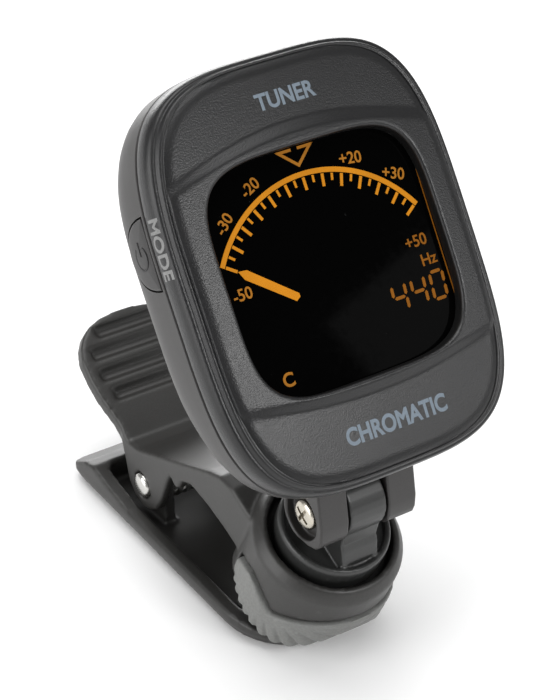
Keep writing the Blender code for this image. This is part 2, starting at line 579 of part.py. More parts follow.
def build_lower_arm():
    arm = flat("lower_arm", LOWER_SIDE, -LOWER_RIM - 1.0, LOWER_RIM + 1.0, PLANE_YZ)
    levels = ((-0.3, LOWER_BASE, -0.5), (1.6, LOWER_RIM, 0.0), (6.0, LOWER_RIM, 0.0))
    rings = []
    for z, half, grow in levels:
        rings.append([(x, y, z) for x, y in clip_plan(half, NOSE_MID, LOWER_TAIL + grow, 2.4)])
    combine(arm, loft("lower_plan", rings), "INTERSECT")
    hollow = clip_plan(LOWER_WALL, NOSE_MID, 17.6, 1.5)
    combine(arm, flat("lower_hollow", hollow, LOWER_FLOOR, 9.0))
    for side in (-1, 1):
        low, high = sorted((side * LUG_IN, side * LUG_OUT))
        combine(arm, flat(f"lug_{side}", LUG_SIDE, low, high, PLANE_YZ), "UNION")
    combine(arm, cylinder("lug_bore", 1.95, -7.5, 7.5, (0.0, PIN_Y, PIN_Z), "X", 28))
    finish(arm, None, material("clip_plastic_lower", (0.014, 0.0135, 0.0125), 0.5))
    pad = flat("lower_pad", clip_plan(7.8, NOSE_MID, -13.5, 1.0), 1.35, 1.95)
    finish(pad, None, material("pad_rubber", (0.05, 0.05, 0.048), 0.85))


def build_pivot():
    profile = [(1.2, 8.6), (1.6, 8.45), (PIN_R, 8.1), (PIN_R, -8.1), (1.6, -8.45), (1.2, -8.6)]
    pin = turned("pivot_pin", profile, (0.0, PIN_Y, PIN_Z), "X", sides=28)
    finish(pin, None, material("pin_steel", (0.78, 0.77, 0.74), 0.2, 1.0))
    half = 3.7
    route = [(-half, PIN_Y + 7.6, 1.95)]
    count = int(COIL_TURNS * COIL_STEPS)
    for i in range(count + 1):
        a = radians(-90 - 360.0 * i / COIL_STEPS)
        x = half * (2 * i / count - 1)
        route.append((x, PIN_Y + COIL_R * cos(a), PIN_Z + COIL_R * sin(a)))
    route.append((half, PIN_Y + 3.4, 8.7))
    wire = bpy.data.curves.new("torsion_spring", "CURVE")
    wire.dimensions = "3D"
    wire.bevel_depth = WIRE_R * MM
    wire.bevel_resolution = 2
    wire.use_fill_caps = True
    spline = wire.splines.new("POLY")
    spline.points.add(len(route) - 1)
    for point, place in zip(spline.points, route):
        point.co = (*(Vector(place) * MM), 1.0)
    spring = bpy.data.objects.new("torsion_spring", wire)
    parts.objects.link(spring)
    finish(spring, None, material("spring_steel", (0.6, 0.6, 0.58), 0.3, 1.0))


build_front_shell()
build_back_shell()
build_button()
build_battery_door()
build_display_stack()
build_electronics()
build_battery()
build_case_screws()
build_tilt_fasteners()
build_knuckle()
build_upper_arm()
build_shoe()
build_lower_arm()
build_pivot()
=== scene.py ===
"""Looks of the clip-on tuner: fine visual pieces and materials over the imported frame."""
import json
from math import atan2, cos, hypot, pi, radians, sin

import bpy
import bmesh
from mathutils import Matrix, Vector


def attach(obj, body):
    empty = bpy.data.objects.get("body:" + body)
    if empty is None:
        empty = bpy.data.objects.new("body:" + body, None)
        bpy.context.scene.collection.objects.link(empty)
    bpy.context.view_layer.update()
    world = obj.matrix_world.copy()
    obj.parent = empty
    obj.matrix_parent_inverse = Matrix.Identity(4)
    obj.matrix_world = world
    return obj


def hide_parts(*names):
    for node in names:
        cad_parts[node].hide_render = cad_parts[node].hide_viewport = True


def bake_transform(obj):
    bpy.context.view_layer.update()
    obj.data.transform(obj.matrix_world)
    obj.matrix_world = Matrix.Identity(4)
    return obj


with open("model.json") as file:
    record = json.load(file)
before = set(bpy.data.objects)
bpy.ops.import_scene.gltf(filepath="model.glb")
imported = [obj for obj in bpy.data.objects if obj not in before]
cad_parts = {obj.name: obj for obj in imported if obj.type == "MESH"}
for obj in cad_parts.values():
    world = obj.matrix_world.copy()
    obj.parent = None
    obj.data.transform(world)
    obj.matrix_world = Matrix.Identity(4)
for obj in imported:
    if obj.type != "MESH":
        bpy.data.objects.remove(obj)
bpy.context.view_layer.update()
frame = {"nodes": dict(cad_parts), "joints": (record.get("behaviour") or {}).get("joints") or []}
nodes = frame["nodes"]
joints = {joint["name"]: joint for joint in frame["joints"]}

# Sizes are in millimetres from here on. The head's frame has X across, Y up its face, Z out of its face
MM = 0.001
HINGE_IN_HEAD = (-22.77, -13.30)
HEAD_MID, CELL_MID = 5.6, 7.2

# Outlines of the head are superellipses of this power, with this many points
HEAD_POWER, SIDES = 3.8, 264

# Face: half width and height, how far the rim stands out of it, and the share of that along Y
FACE_HALF, RIM_REACH, RIM_UPRIGHT = (18.85, 24.7), 1.85, 0.7

# Height at the middle and fall towards the sides, of the wings and of the raised panel between them
WING_RISE, PANEL_RISE, FACE_DOME = (2.35, 0.6), (3.0, 1.0), 18.6

# Fall of the whole face towards its top and bottom, and the depth and width of its rounded edge
FACE_DROP, EDGE_FALL, EDGE_REACH = 0.5, 0.28, 1.3

# Borders of the raised panel: height at the middle, bow, and bow of the fourth power, at BORDER_SPAN
BORDER_SPAN = 17.0
LOW_BORDER, LOW_CREST = (-10.39, 1.96, 0.03), (-8.94, 1.82, -0.36)
TOP_CREST, TOP_BORDER = (21.54, -3.26, 0.53), (23.14, -3.45, 0.31)

# Window: half width, half height, superellipse power and middle
WINDOW = (15.25, 14.25, 4.45, 5.8)
LENS_TOP, DISPLAY_TOP, FIGURE_SHIFT, FIGURE_HALF = 0.5, 0.54, -0.29, 0.03
SILL_LEVEL, SILL_INSIDE, WINDOW_MARGIN = LENS_TOP + 0.03, 0.9, 0.55

# Left wall of the head, the side button on it, and the ears of the hinge
WALL_X = 20.7
BUTTON_MID, BUTTON_HALF, BUTTON_FLAT, BUTTON_DEPTH = 13.1, 4.35, -3.0, 6.3
BUTTON_GAP, BUTTON_PROUD, ICON_PROUD, ICON_WIDTH = 0.16, 0.18, 0.2, 0.26
EAR_IN, EAR_OUT = 3.0, 7.2


# ---------------------------------------------------------------- frames
def axis_matrix(origin, z_axis):
    """Frame at a point with a given Z axis, X along the world's X."""
    z_axis = Vector(z_axis).normalized()
    x_axis = Vector((1.0, 0.0, 0.0))
    y_axis = z_axis.cross(x_axis)
    matrix = Matrix((x_axis, y_axis, z_axis)).transposed().to_4x4()
    matrix.translation = origin
    return matrix


def head_matrix():
    turn = axis_matrix(joints["head_tilt"]["pos_m"], joints["door_turn"]["axis"])
    y, z = HINGE_IN_HEAD
    return turn @ Matrix.Translation((0.0, -y * MM, -z * MM))


HEAD = head_matrix()
ALONG_X = Matrix.Rotation(radians(90), 4, "Y")


# ---------------------------------------------------------------- mesh tools
def piece(name, bm, matrix, mats, sharp=40.0):
    """Mesh object from a bmesh drawn in millimetres in one of the frames."""
    bmesh.ops.scale(bm, vec=(MM, MM, MM), verts=bm.verts)
    bmesh.ops.recalc_face_normals(bm, faces=bm.faces)
    mesh = bpy.data.meshes.new(name)
    bm.to_mesh(mesh)
    bm.free()
    mesh.shade_smooth()
    mesh.set_sharp_from_angle(angle=radians(sharp))
    for mat in mats:
        mesh.materials.append(mat)
    obj = bpy.data.objects.new(name, mesh)
    bpy.context.scene.collection.objects.link(obj)
    obj.matrix_world = matrix
    return obj


def skin(bm, rings, closed=False, index=None):
    """Quads between rings of points; index gives a material number for each band."""
    made = [[bm.verts.new(p) for p in ring] for ring in rings]
    pairs = list(zip(made, made[1:]))
    if closed:
        pairs.append((made[-1], made[0]))
    for band, (low, high) in enumerate(pairs):
        for i in range(len(low)):
            j = (i + 1) % len(low)
            face = bm.faces.new((low[i], low[j], high[j], high[i]))
            face.material_index = index[band] if index else 0
    return made


def capped(rings):
    """Closed solid from rings, with a face on each end."""
    bm = bmesh.new()
    made = skin(bm, rings)
    bm.faces.new(made[0])
    bm.faces.new(made[-1])
    return bm


def round_square(half_x, half_y, power, mid_y):
    """Superellipse with its points at even angles."""
    points = []
    for i in range(SIDES):
        a = 2 * pi * i / SIDES
        c, s = cos(a), sin(a)
        r = (abs(c / half_x) ** power + abs(s / half_y) ** power) ** (-1.0 / power)
        points.append((r * c, mid_y + r * s))
    return points


def arc(mid, radius, start, stop, count):
    """Points on part of a circle, between two angles in degrees."""
    points = []
    for i in range(count):
        a = radians(start + (stop - start) * i / (count - 1))
        points.append((mid[0] + radius * cos(a), mid[1] + radius * sin(a)))
    return points


def lathe(profile, sides=72, centre=(0.0, 0.0)):
    """Solid turned about Z from (radius, height) points."""
    rings = []
    for radius, height in profile:
        ring = []
        for i in range(sides):
            a = 2 * pi * i / sides
            ring.append((centre[0] + radius * cos(a), centre[1] + radius * sin(a), height))
        rings.append(ring)
    return capped(rings)


def slab(outline, low, high, axis="Z"):
    """Outline between two levels: along Z as (x, y), along X as (y, z)."""
    if axis == "X":
        return capped([[(level, u, v) for u, v in outline] for level in (low, high)])
    return capped([[(u, v, level) for u, v in outline] for level in (low, high)])


def bevelled(obj, width, segments):
    """Round every edge sharper than 50 degrees."""
    bevel = obj.modifiers.new("bevel", "BEVEL")
    bevel.width = width * MM
    bevel.segments = segments
    bevel.limit_method = "ANGLE"
    bevel.angle_limit = radians(50.0)
    bevel.harden_normals = False
    return obj


def cut(target, tool):
    """Take a tool's shape out of a piece, and drop the tool."""
    modifier = target.modifiers.new("cut", "BOOLEAN")
    modifier.operation = "DIFFERENCE"
    modifier.solver = "EXACT"
    modifier.object = tool
    settle(target)
    bpy.data.objects.remove(tool, do_unlink=True)


def settle(obj, sharp=40.0):
    """Apply all of a piece's modifiers."""
    evaluated = obj.evaluated_get(bpy.context.evaluated_depsgraph_get())
    mesh = bpy.data.meshes.new_from_object(evaluated)
    obj.modifiers.clear()
    obj.data = mesh
    mesh.shade_smooth()
    mesh.set_sharp_from_angle(angle=radians(sharp))
    return obj


def rounded_copy(node, name, voxel, smoothing, mats):
    """Copy of a CAD node, remeshed finely and smoothed so that every edge is moulded round."""
    obj = bpy.data.objects.new(name, nodes[node].data.copy())
    bpy.context.scene.collection.objects.link(obj)
    obj.data.materials.clear()
    remesh = obj.modifiers.new("voxels", "REMESH")
    remesh.mode = "VOXEL"
    remesh.voxel_size = voxel * MM
    smooth = obj.modifiers.new("soft_edges", "SMOOTH")
    smooth.factor = 0.5
    smooth.iterations = smoothing
    settle(obj, sharp=180.0)
    for mat in mats:
        obj.data.materials.append(mat)
    return obj


def dress(obj, body, slot, *replaced):
    """Every visual piece: the body it moves with and what it stands for. The slot is not used."""
    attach(obj, body)
    if replaced:
        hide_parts(*replaced)
    return obj


# ---------------------------------------------------------------- materials
class Finish:
    """A material in the making: its shader, and makers for the nodes that vary it over the surface."""

    def __init__(self, name):
        self.mat = bpy.data.materials.new(name)
        self.mat.use_nodes = True
        self.tree = self.mat.node_tree
        self.shader = self.tree.nodes["Principled BSDF"]
        self.coords = self.tree.nodes.new("ShaderNodeTexCoord").outputs["Object"]

    def noise(self, scale, detail=2.0, stretch=None):
        """Noise fixed to the object, stretched where a scale for each axis is given."""
        place = self.coords
        if stretch:
            mapping = self.tree.nodes.new("ShaderNodeMapping")
            mapping.inputs["Scale"].default_value = stretch
            self.tree.links.new(place, mapping.inputs["Vector"])
            place = mapping.outputs["Vector"]
        node = self.tree.nodes.new("ShaderNodeTexNoise")
        node.inputs["Scale"].default_value = scale
        node.inputs["Detail"].default_value = detail
        self.tree.links.new(place, node.inputs["Vector"])
        return node.outputs["Fac"]

    def remap(self, value, read, write):
        """Carry one range of a value over to another."""
        node = self.tree.nodes.new("ShaderNodeMapRange")
        node.inputs["From Min"].default_value, node.inputs["From Max"].default_value = read
        node.inputs["To Min"].default_value, node.inputs["To Max"].default_value = write
        self.tree.links.new(value, node.inputs["Value"])
        return node.outputs["Result"]

    def mix(self, factor, first, second):
        """Blend a colour, or the result of an earlier mix, into a second colour."""
        node = self.tree.nodes.new("ShaderNodeMix")
        node.data_type = "RGBA"
        if isinstance(first, tuple):
            node.inputs["A"].default_value = (*first, 1.0)
        else:
            self.tree.links.new(first, node.inputs["A"])
        node.inputs["B"].default_value = (*second, 1.0)
        self.tree.links.new(factor, node.inputs["Factor"])
        return node.outputs["Result"]

    def feed(self, socket, value):
        """Link a varying value to the shader."""
        self.tree.links.new(value, self.shader.inputs[socket])

    def set(self, socket, value):
        """Set a value that is the same all over."""
        self.shader.inputs[socket].default_value = value

    def relief(self, height, strength, distance):
        node = self.tree.nodes.new("ShaderNodeBump")
        node.inputs["Strength"].default_value = strength
        node.inputs["Distance"].default_value = distance
        self.tree.links.new(height, node.inputs["Height"])
        self.feed("Normal", node.outputs["Normal"])


def tinted(colour, times, plus=0.0):
    """A colour made lighter or darker."""
    return tuple(min(1.0, part * times + plus) for part in colour)


def moulded(name, colour, rough=(0.42, 0.6), grain=5200.0, bump=0.25, wear=0.5, specular=0.5):
    """Moulded plastic or rubber: fine grain, faint blotches, edges rubbed a little lighter."""
    finish = Finish(name)
    fine = finish.noise(grain, 3.0)
    broad = finish.noise(130.0, 4.0)
    tone = finish.mix(broad, tinted(colour, 0.86), tinted(colour, 1.14))
    flecks = finish.remap(fine, (0.35, 0.7), (0.0, 0.35))
    tone = finish.mix(flecks, tone, tinted(colour, 1.5, 0.01))
    edges = finish.tree.nodes.new("ShaderNodeNewGeometry").outputs["Pointiness"]
    rubbed = finish.remap(edges, (0.53, 0.62), (0.0, wear))
    finish.feed("Base Color", finish.mix(rubbed, tone, tinted(colour, 1.6, 0.015)))
    finish.feed("Roughness", finish.remap(broad, (0.0, 1.0), rough))
    finish.relief(fine, bump, 0.00006)
    finish.set("Specular IOR Level", specular)
    return finish.mat


def metal(name, colour, rough=(0.16, 0.34)):
    """Plated steel with fine scratches and slight tarnish."""
    finish = Finish(name)
    scratches = finish.noise(2600.0, 5.0, stretch=(0.15, 1.0, 1.0))
    tarnish = finish.noise(420.0)
    finish.feed("Base Color", finish.mix(tarnish, colour, tinted(colour, 0.72)))
    finish.feed("Roughness", finish.remap(scratches, (0.0, 1.0), rough))
    finish.relief(scratches, 0.12, 0.00003)
    finish.set("Metallic", 1.0)
    return finish.mat


def display_cover(name):
    """Dark polished display cover, with a faint haze and a few specks of dust."""
    finish = Finish(name)
    dust = finish.noise(900.0, 6.0)
    finish.feed("Roughness", finish.remap(dust, (0.45, 0.8), (0.04, 0.11)))
    specks = finish.remap(dust, (0.74, 0.8), (0.0, 1.0))
    finish.feed("Base Color", finish.mix(specks, (0.0008, 0.0008, 0.0008), (0.03, 0.03, 0.03)))
    finish.set("Specular IOR Level", 0.012)
    return finish.mat


def lit(name, colour, strength):
    """Amber segment with a slightly uneven glow."""
    finish = Finish(name)
    glow = finish.mix(finish.noise(260.0), tinted(colour, 0.8), tinted(colour, 1.15))
    finish.feed("Base Color", glow)
    finish.feed("Emission Color", glow)
    finish.set("Emission Strength", strength)
    finish.set("Specular IOR Level", 0.05)
    finish.set("Roughness", 0.5)
    return finish.mat


BLACK_FRONT = moulded("front_black", (0.0065, 0.0065, 0.007), (0.27, 0.36), 5200.0, 0.6, 0.3, 0.42)
BLACK_BACK = moulded("back_black", (0.016, 0.0145, 0.014), (0.36, 0.48), 6000.0, 0.2, 0.2)
BLACK_BUTTON = moulded("button_black", (0.014, 0.013, 0.013), (0.42, 0.52), 6000.0, 0.2, 0.3)
BLACK_CLIP = moulded("clip_black", (0.018, 0.0173, 0.016), (0.36, 0.48), 5000.0, 0.2, 0.4, 0.5)
BLACK_KNUCKLE = moulded("knuckle_black", (0.02, 0.0205, 0.02), (0.3, 0.42), 5000.0, 0.12, 0.5)
BLACK_DOOR = moulded("door_black", (0.014, 0.0135, 0.013), (0.42, 0.55), 6000.0, 0.25, 0.4)
# Darker black on the window's sill and inner wall: painted shade of the window's recess
WINDOW_WALL_SHADE = moulded("window_wall_painted_shade", (0.004, 0.004, 0.004), (0.3, 0.4), 5000.0, 0.1, 0.1)
ENGRAVED = moulded("engraved_line", (0.004, 0.004, 0.004), (0.5, 0.65), 5000.0, 0.1, 0.0)
SHOE_RUBBER = moulded("shoe_rubber", (0.15, 0.152, 0.146), (0.5, 0.65), 3000.0, 0.5, 0.25, 0.4)
PAD_RUBBER = moulded("pad_rubber", (0.05, 0.05, 0.048), (0.7, 0.85), 3000.0, 0.5, 0.25, 0.3)
PRINT = moulded("pad_print", (0.12, 0.152, 0.185), (0.5, 0.65), 4500.0, 0.1, 0.0)
SIDE_PRINT = moulded("side_print", (0.17, 0.17, 0.168), (0.5, 0.65), 4500.0, 0.1, 0.0)
NICKEL = metal("nickel", (0.62, 0.58, 0.5))
STEEL = metal("bright_steel", (0.7, 0.69, 0.66), (0.16, 0.3))
ZINC = metal("zinc", (0.6, 0.6, 0.58), (0.25, 0.45))
AMBER = lit("amber_segments", (0.36, 0.135, 0.006), 0.55)
AMBER_LABEL = lit("amber_labels", (0.25, 0.098, 0.01), 0.42)
AMBER_DIM = lit("amber_segments_dim", (0.17, 0.06, 0.005), 0.3)
GLASS = display_cover("display_cover")
LCD_BLACK = moulded("display_black", (0.006, 0.006, 0.0065), (0.15, 0.25), 2500.0, 0.02, 0.0)


# ---------------------------------------------------------------- front cover
def ramp(t, soft=0.08):
    """0 to 1 in a straight slope with softened ends."""
    t = min(1.0, max(0.0, t))
    if t < soft:
        return t * t / (2 * soft * (1 - soft))
    if t > 1 - soft:
        return 1 - (1 - t) ** 2 / (2 * soft * (1 - soft))
    return (t - soft / 2) / (1 - soft)


def bowed(border, q):
    """Height of a border of the raised panel; q is 0 at the middle and 1 at BORDER_SPAN, squared."""
    return border[0] + border[1] * q + border[2] * q * q


def face_height(x, y):
    """Domed wings with a raised panel across the middle, its borders curved and sloped."""
    dome = (x / FACE_DOME) ** 2
    drop = FACE_DROP * ((y - HEAD_MID) / FACE_HALF[1]) ** 2
    wing = WING_RISE[0] - WING_RISE[1] * dome - drop
    panel = PANEL_RISE[0] - PANEL_RISE[1] * dome - drop
    q = (x / BORDER_SPAN) ** 2
    low_border, low_crest = bowed(LOW_BORDER, q), bowed(LOW_CREST, q)
    top_crest, top_border = bowed(TOP_CREST, q), bowed(TOP_BORDER, q)
    low_share = ramp((y - low_border) / (low_crest - low_border))
    top_share = ramp((top_border - y) / (top_border - top_crest))
    return wing + (panel - wing) * min(low_share, top_share)


def window_outline(grow):
    half_x, half_y, power, mid = WINDOW
    return round_square(half_x + grow, half_y + grow, power, mid)


def window_ring(grow, drop):
    """Ring round the window, a little below the face."""
    return [(x, y, face_height(x, y) - drop) for x, y in window_outline(grow)]


def sill_ring(grow):
    """Ring round the window, level with the display cover."""
    return [(x, y, SILL_LEVEL) for x, y in window_outline(grow)]


def face_ring(share):
    """Ring between the window's edge and the face's edge."""
    inner = window_outline(WINDOW_MARGIN)
    outer = round_square(FACE_HALF[0], FACE_HALF[1], HEAD_POWER, HEAD_MID)
    ring = []
    for (x0, y0), (x1, y1) in zip(inner, outer):
        x = x0 + (x1 - x0) * share
        y = y0 + (y1 - y0) * share
        left = hypot(x1 - x, y1 - y)
        fall = EDGE_FALL * max(0.0, 1.0 - left / EDGE_REACH) ** 2
        ring.append((x, y, face_height(x, y) - fall))
    return ring


def rim_ring(grow, z, blend=0.0):
    """Ring outside the face's edge; blend keeps some of the face's own height."""
    outline = round_square(FACE_HALF[0] + grow, FACE_HALF[1] + grow * RIM_UPRIGHT, HEAD_POWER, HEAD_MID)
    return [(x, y, z + (face_height(x, y) - EDGE_FALL - z) * blend) for x, y in outline]


# Rim from the face's edge outwards: reach, height and share of the face's own height. It has a
# shallow groove, a bead, a step and a rounded wall, and it goes back inside along the parting line
RIM = [(0.03, 1.5, 0.6), (0.08, 1.4, 0.25), (0.16, 1.36), (0.26, 1.4), (0.38, 1.47), (0.52, 1.46),
       (0.66, 1.36), (0.78, 1.16), (0.86, 0.98), (0.94, 0.88), (1.04, 0.85), (1.16, 0.86), (1.3, 0.8),
       (1.45, 0.65), (1.6, 0.4), (1.72, 0.08), (1.8, -0.32), (1.84, -0.75), (RIM_REACH, -1.2),
       (RIM_REACH, -1.9), (1.78, -2.02), (1.65, -2.05), (0.4, -2.05), (0.25, -1.2), (-1.5, 0.25)]
WALL = RIM[11:20]

# Rounded edge of the window: growth of its outline and drop below the face
WINDOW_EDGE = [(0.0, 0.6), (0.06, 0.28), (0.2, 0.1), (0.36, 0.02)]
FACE_STEPS = 40


def build_front_cover():
    """One closed skin, from the window's sill over the face and the rim and back inside."""
    rings = [sill_ring(0.0)]
    rings += [window_ring(grow, drop) for grow, drop in WINDOW_EDGE]
    rings += [face_ring(i / FACE_STEPS) for i in range(FACE_STEPS + 1)]
    rings += [rim_ring(*step) for step in RIM]
    rings.append(sill_ring(SILL_INSIDE))
    # Bands of index 1, the window's sill and inner wall, get the darker black: painted shade in the window's
    # recess
    index = [1, 1] + [0] * (len(rings) - 3) + [1]
    bm = bmesh.new()
    skin(bm, rings, closed=True, index=index)
    cover = piece("front_cover", bm, HEAD, [BLACK_FRONT, WINDOW_WALL_SHADE], sharp=60.0)
    dress(cover, "head", "shell_front", "front_shell")


# ---------------------------------------------------------------- back cover
# Back cover from the parting line to the back: level, half width, half height and middle
BACK = [(-2.32, 20.35, 25.6, 5.6), (-2.36, 20.58, 25.85, 5.6), (-2.5, 20.7, 26.0, 5.6),
        (-4.2, 20.68, 25.9, 5.65), (-6.0, 20.6, 25.6, 5.8), (-7.2, 20.5, 24.95, 6.05),
        (-8.3, 20.3, 24.0, 6.4), (-9.3, 20.05, 22.9, 6.65), (-10.2, 19.6, 21.55, 6.85),
        (-11.0, 18.95, 20.3, 6.95), (-11.6, 18.2, 19.1, 7.05), (-12.1, 17.3, 17.95, 7.1),
        (-12.45, 16.4, 16.95, 7.15), (-12.68, 15.4, 15.95, 7.2), (-12.8, 14.4, 14.95, 7.2)]
WALL_THICK, BACK_THICK, LINING_TOP = 1.35, 1.3, -2.3
DOOR_HOLE, SCREW_HOLE, SCREW_X, SCREW_Y = 12.25, 1.9, 14.0, 18.4


def build_back_cover():
    """Rounded shell with a lining, closed along the parting line."""
    outer = [[(x, y, z) for x, y in round_square(a, b, HEAD_POWER, mid)] for z, a, b, mid in BACK]
    inner = []
    for z, a, b, mid in BACK[::-1]:
        level = min(z + BACK_THICK, LINING_TOP)
        outline = round_square(a - WALL_THICK, b - WALL_THICK, HEAD_POWER, mid)
        inner.append([(x, y, level) for x, y in outline])
    bm = bmesh.new()
    made = skin(bm, outer)
    bm.faces.new(made[-1])
    lining = skin(bm, inner)
    bm.faces.new(lining[0])
    for i in range(SIDES):
        j = (i + 1) % SIDES
        bm.faces.new((made[0][i], made[0][j], lining[-1][j], lining[-1][i]))
    cover = piece("back_cover", bm, HEAD, [BLACK_BACK], sharp=60.0)
    cut_back_cover(cover)
    dress(cover, "head", "shell_back", "back_shell")


def cut_back_cover(cover):
    """Holes for the button, the battery door and the four case screws."""
    button = slab(button_outline(BUTTON_GAP), -25.0, -17.0, "X")
    cut(cover, piece("button_hole_tool", button, HEAD, []))
    door = lathe([(DOOR_HOLE, -15.0), (DOOR_HOLE, -10.0)], 96, (0.0, CELL_MID))
    cut(cover, piece("door_hole_tool", door, HEAD, []))
    corners = [(side * SCREW_X, HEAD_MID + end * SCREW_Y) for side in (-1, 1) for end in (-1, 1)]
    for i, corner in enumerate(corners):
        sink = lathe([(SCREW_HOLE, -14.0), (SCREW_HOLE, -8.0)], 40, corner)
        cut(cover, piece(f"sink_tool_{i}", sink, HEAD, []))


def head_yz(y, z):
    """World (Y, Z) in millimetres to the head's own (y, z)."""
    point = HEAD.inverted() @ Vector((0.0, y * MM, z * MM))
    return point.y / MM, point.z / MM


# Side of an ear, as world Y and Z
EAR_SIDE = [(-31.1, 24.6), (-31.1, 22.9), (-30.75, 21.9), (-30.0, 21.15), (-28.4, 20.7), (-26.2, 20.6),
            (-25.2, 20.85), (-24.3, 21.4), (-23.5, 22.3), (-23.0, 23.4), (-22.9, 24.5), (-23.7, 27.8),
            (-25.2, 32.4), (-29.6, 31.0)]
SCREW_BORE, HEAD_SINK, NUT_SINK = 1.3, 3.2, 2.5


def build_ears():
    """Two clevis ears that grow out of the head's lower back, for the tilt screw and its nut."""
    outline = [head_yz(y, z) for y, z in EAR_SIDE]
    hinge = Matrix.Translation((0.0, HINGE_IN_HEAD[0] * MM, HINGE_IN_HEAD[1] * MM)) @ ALONG_X
    sinks = {"ear_left": lathe([(HEAD_SINK, -9.0), (HEAD_SINK, -5.9)], 64),
             "ear_right": lathe([(NUT_SINK, 5.3), (NUT_SINK, 9.0)], 6)}
    for name, low, high in (("ear_left", -EAR_OUT, -EAR_IN), ("ear_right", EAR_IN, EAR_OUT)):
        ear = piece(name, slab(outline, low, high, "X"), HEAD, [BLACK_BACK])
        bore = lathe([(SCREW_BORE, -9.0), (SCREW_BORE, 9.0)], 48)
        for i, tool in enumerate((sinks[name], bore)):
            cut(ear, piece(f"{name}_tool_{i}", tool, HEAD @ hinge, []))
        bevelled(ear, 0.28, 3)
        dress(ear, "head", "shell_back", "back_shell")


def button_outline(grow):
    """D outline of the button as (y, z): straight at the parting line, round towards the back."""
    outline = []
    for y, z in arc((BUTTON_MID, 0.0), BUTTON_HALF + grow, 0, 180, 41):
        outline.append((y, BUTTON_FLAT - z * BUTTON_DEPTH / BUTTON_HALF))
    edge = BUTTON_FLAT + grow
    return outline + [(BUTTON_MID - BUTTON_HALF - grow, edge), (BUTTON_MID + BUTTON_HALF + grow, edge)]


def wall_x(y, z):
    """How far out the back cover's side wall stands at a point (y, z) of the side."""
    for (z0, a0, b0, m0), (z1, a1, b1, m1) in zip(BACK, BACK[1:]):
        if z1 <= z <= z0:
            t = (z0 - z) / (z0 - z1)
            half, high, mid = a0 + (a1 - a0) * t, b0 + (b1 - b0) * t, m0 + (m1 - m0) * t
            return half * max(0.0, 1 - abs((y - mid) / high) ** HEAD_POWER) ** (1 / HEAD_POWER)
    return BACK[0][1]


def build_button():
    """Button cap: concentric D outlines laid over the side wall, crowned and rounded at its edge."""
    mid = (BUTTON_MID, BUTTON_FLAT - BUTTON_DEPTH * 0.45)
    outline = button_outline(-0.02)
    steps = [(1.0, -2.2), (1.0, -0.12), (0.985, 0.03), (0.95, 0.1), (0.9, 0.13), (0.75, 0.16),
             (0.5, BUTTON_PROUD), (0.25, BUTTON_PROUD), (0.05, BUTTON_PROUD)]
    rings = []
    for scale, proud in steps:
        ring = []
        for y, z in outline:
            v, w = mid[0] + (y - mid[0]) * scale, mid[1] + (z - mid[1]) * scale
            ring.append((-(wall_x(v, w) + proud), v, w))
        rings.append(ring)
    cap = piece("button_cap", capped(rings), HEAD, [BLACK_BUTTON], sharp=50.0)
    dress(cap, "button", "button", "mode_button")


def icon_strip(name, points):
    """Thin engraved line that follows the button's face."""
    bm = bmesh.new()
    rows = []
    for i, (y, z) in enumerate(points):
        before, after = points[max(i - 1, 0)], points[min(i + 1, len(points) - 1)]
        run = Vector((after[0] - before[0], after[1] - before[1])).normalized()
        side = Vector((-run.y, run.x)) * ICON_WIDTH / 2
        row = []
        for sign in (-1, 1):
            v, w = y + side.x * sign, z + side.y * sign
            row.append(bm.verts.new((-(wall_x(v, w) + ICON_PROUD), v, w)))
        rows.append(row)
    for low, high in zip(rows, rows[1:]):
        bm.faces.new((low[0], low[1], high[1], high[0]))
    strip = piece(name, bm, HEAD, [ENGRAVED])
    solid = strip.modifiers.new("thickness", "SOLIDIFY")
    solid.thickness = 0.05 * MM
    dress(strip, "button", "button")


def build_power_icon():
    """Open ring with a bar through its gap, lying on its side."""
    mid = (BUTTON_MID - 0.1, BUTTON_FLAT - 2.35)
    icon_strip("icon_ring", arc(mid, 1.45, 38, 322, 41))
    icon_strip("icon_bar", [(mid[0] + 0.2, mid[1]), (mid[0] + 1.9, mid[1])])


def build_battery_door():
    door = rounded_copy("battery_door", "battery_cover", 0.2, 3, [BLACK_DOOR])
    dress(door, "door", "door", "battery_door")


# ---------------------------------------------------------------- display figures
def figure(name, bm, mat):
    dress(piece(name, bm, HEAD, [mat]), "head", "lcd_segments")


def flat_strip(bm, outline):
    """Thin flat solid on the display."""
    levels = (DISPLAY_TOP - FIGURE_HALF, DISPLAY_TOP + FIGURE_HALF)
    made = [[bm.verts.new((x + FIGURE_SHIFT, y, z)) for x, y in outline] for z in levels]
    for i in range(len(outline)):
        j = (i + 1) % len(outline)
        bm.faces.new((made[0][i], made[0][j], made[1][j], made[1][i]))
    bm.faces.new(made[0][::-1])
    bm.faces.new(made[1])


def on_arc(radius, angle):
    """Point at an angle measured from the top of the scale, clockwise, in degrees."""
    return radius * sin(radians(angle)), radius * cos(radians(angle))


# Needle scale: half its angle, its band's radii, and the marks along it
SCALE_SPAN, BAND_OUTER, BAND_INNER, BAND_STEPS = 56.9, 16.95, 16.33, 96
MARKS, MARK_INSET, MARK_OVERLAP = 25, 0.6, 0.12
LONG_MARK, SHORT_MARK = (14.67, 0.19), (15.35, 0.15)


